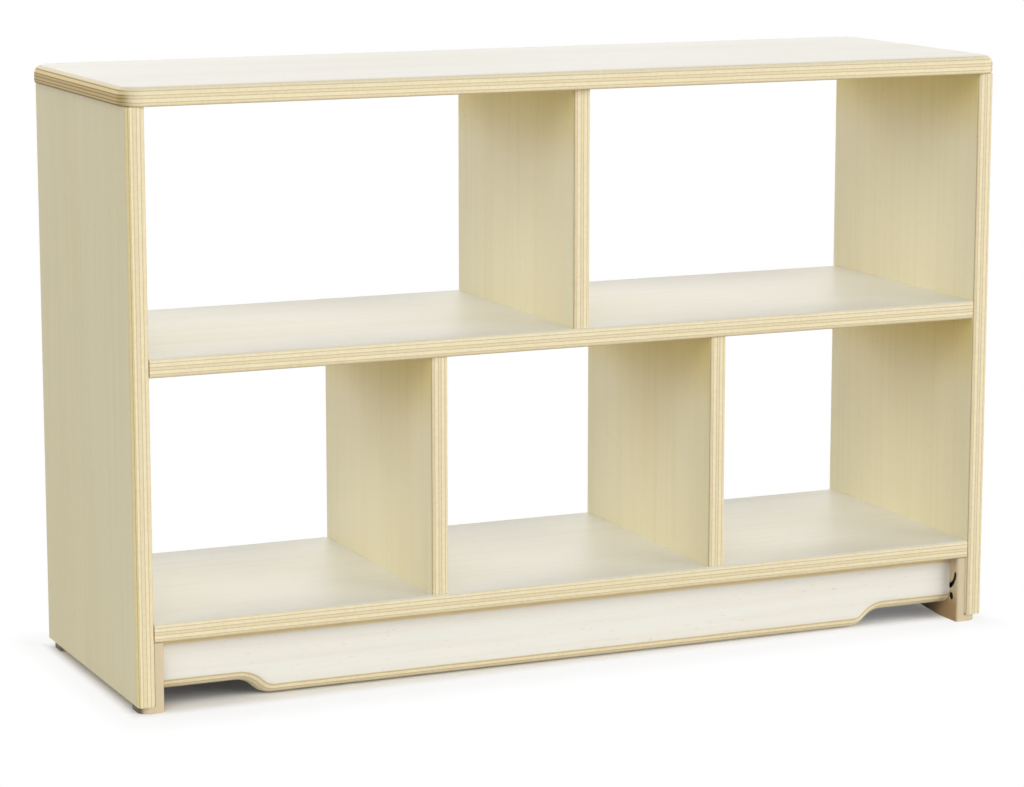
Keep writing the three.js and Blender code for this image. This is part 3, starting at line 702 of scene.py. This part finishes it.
def add_camera():
    data = bpy.data.cameras.new("photo_camera")
    data.sensor_fit = "HORIZONTAL"
    data.sensor_width = SENSOR_WIDTH
    data.lens = FOCAL_PIXELS * SENSOR_WIDTH / IMAGE_WIDTH
    data.clip_end = CAMERA_REACH
    camera = add_object("photo_camera", data)
    camera.location = CAMERA_PLACE
    camera.rotation_euler = (math.radians(90) - CAMERA_PITCH, 0.0, -CAMERA_YAW)
    bpy.context.scene.camera = camera


def seen_directly(tree):
    """One for what the camera, a reflection or a clear material sees, zero for what lights the scene."""
    path = add_node(tree, "ShaderNodeLightPath").outputs
    seen = calculate(tree, "MAXIMUM", path["Is Camera Ray"], path["Is Glossy Ray"])
    return calculate(tree, "MAXIMUM", seen, path["Is Transmission Ray"])


def add_dome():
    world = bpy.data.worlds.new("studio")
    world.use_nodes = True
    tree = world.node_tree
    tree.nodes.clear()
    strength = calculate(tree, "MULTIPLY", seen_directly(tree), BACKGROUND_WHITE)
    background = add_node(tree, "ShaderNodeBackground", {"Strength": strength, "Color": WHITE})
    output = add_node(tree, "ShaderNodeOutputWorld")
    tree.links.new(background.outputs["Background"], output.inputs["Surface"])
    bpy.context.scene.world = world


def add_lamps():
    for name, turn, rise, strength in LAMPS:
        data = bpy.data.lights.new(name, "SUN")
        data.energy = strength
        data.angle = LAMP_SIZE
        lamp = add_object(name, data)
        lamp.rotation_euler = (math.radians(90 - rise), 0.0, -math.radians(turn))
        lamp.visible_glossy = name not in NO_GLARE


def outwards_from_footprint(tree, axes):
    """Distance on the floor from the edge of the footprint, below zero inside it and steeper at its ends."""
    past = []
    for axis, centre, reach in (("X", MIDDLE_X, HALF_WIDTH), ("Y", MIDDLE_Y, HALF_DEPTH)):
        offset = calculate(tree, "ABSOLUTE", calculate(tree, "SUBTRACT", axes[axis], centre))
        past.append(calculate(tree, "SUBTRACT", offset, reach))
    past[0] = calculate(tree, "MULTIPLY_ADD", past[0], ENDS_STEEPER, ENDS_OFFSET)
    inside = calculate(tree, "MINIMUM", calculate(tree, "MAXIMUM", *past), 0.0)
    outside = [calculate(tree, "MAXIMUM", value, 0.0) for value in past]
    squares = [calculate(tree, "MULTIPLY", value, value) for value in outside]
    return calculate(tree, "ADD", inside, calculate(tree, "SQRT", calculate(tree, "ADD", *squares)))


def make_floor():
    """White that keeps the soft shadow round the footprint, with painted shadow under the shelf and painted
    light towards the right end.
    """
    material, tree = new_material("studio_floor")
    axes = split(tree, room_place(tree))
    # painted light towards the right end of the shelf
    further = blend_range(tree, axes["X"], LEFT_END, RIGHT_END, 0.0, PAINTED_LIGHT_REACH)
    outwards = calculate(tree, "ADD", outwards_from_footprint(tree, axes), further)
    deepest = blend_range(tree, axes["X"], LEFT_END, RIGHT_END, DEEP_LEFT, DEEP_RIGHT)
    quick = blend_range(tree, outwards, SHADOW_START, SHADOW_END, deepest, SHADOW_EDGE)
    slow = blend_range(tree, outwards, SHADOW_END, SHADOW_FAR, 0.0, 1.0 - SHADOW_EDGE)
    seen = seen_directly(tree)
    lift = calculate(tree, "MULTIPLY", seen, calculate(tree, "ADD", quick, slow))
    # painted shadow on the floor seen under the shelf
    shade = blend_range(tree, outwards, UNDER_START, UNDER_END, FLOOR_UNDER, FLOOR_WHITE)
    colour = mix_colour(tree, seen, (FLOOR_BOUNCE,) * 3, shade)
    diffuse = add_node(tree, "ShaderNodeBsdfDiffuse", {"Color": colour})
    white = add_node(tree, "ShaderNodeEmission", {"Color": WHITE, "Strength": BACKGROUND_WHITE})
    mixed = add_node(tree, "ShaderNodeMixShader", {
        "Fac": lift,
        1: diffuse.outputs["BSDF"],
        2: white.outputs["Emission"],
    })
    output = add_node(tree, "ShaderNodeOutputMaterial")
    tree.links.new(mixed.outputs["Shader"], output.inputs["Surface"])
    return material


def add_floor():
    mesh = bpy.data.meshes.new("studio_floor")
    corners = [(x * FLOOR_HALF, y * FLOOR_HALF) for x, y in ((-1, -1), (1, -1), (1, 1), (-1, 1))]
    mesh.from_pydata([(x, y, FLOOR_LEVEL) for x, y in corners], [], [(0, 1, 2, 3)])
    mesh.materials.append(make_floor())
    floor = add_object("studio_floor", mesh)


add_camera()
top_plywood = make_plywood("top_plywood", FACE_TOP, FACE_UNDER, RIM_PALE, GLUE_PALE, bare_ends=True)
shelf_plywood = make_plywood("shelf_plywood", FACE_SHELF, FACE_UNDER, RIM_PALE, GLUE_PALE)
shade_from = node_size("kickboard_front", UP)[0] / 2 - KICK_SHADE_DEPTH
kick_plywood = make_plywood(
    "kick_plywood", FACE_KICK, FACE_KICK, RIM_KICK, PLY_DARK, shaded_above=shade_from,
)
divider_plywood = make_plywood("divider_plywood", FACE_WARM, FACE_WARM, PLY_OUTER, GLUE_DARK)
side_materials = {
    "side_panel_left": make_plywood(
        "left_plywood", FACE_SIDE, FACE_WARM, RIM_GOLD, GLUE_DARK, lines=LEFT_LINES, veneer=THIN_VENEER,
    ),
    "side_panel_right": make_plywood("right_plywood", FACE_WARM, FACE_SIDE, PLY_OUTER, GLUE_DARK),
}
plastic = make_plastic()

add_top(top_plywood)
for shelf in ("middle_shelf", "bottom_shelf"):
    add_board(shelf, RIGHT, BACK, shelf_plywood)
for divider in ("upper_divider", "lower_divider_left", "lower_divider_right"):
    add_board(divider, UP, BACK, divider_plywood)
for side, material in side_materials.items():
    add_board(side, UP, BACK, material, FOOT_EDGE_RADIUS)
add_kickboard("kickboard_front", RIGHT, kick_plywood)
add_kickboard("kickboard_rear", -RIGHT, kick_plywood)
for leg in ("leg_front_left", "leg_front_right", "leg_rear_left", "leg_rear_right"):
    add_leg(leg, plastic)
repaint("leg_screw", make_steel())
repaint("dowel", make_beech())

add_dome()
add_lamps()
add_floor()

bpy.context.scene.view_settings.view_transform = "Standard"
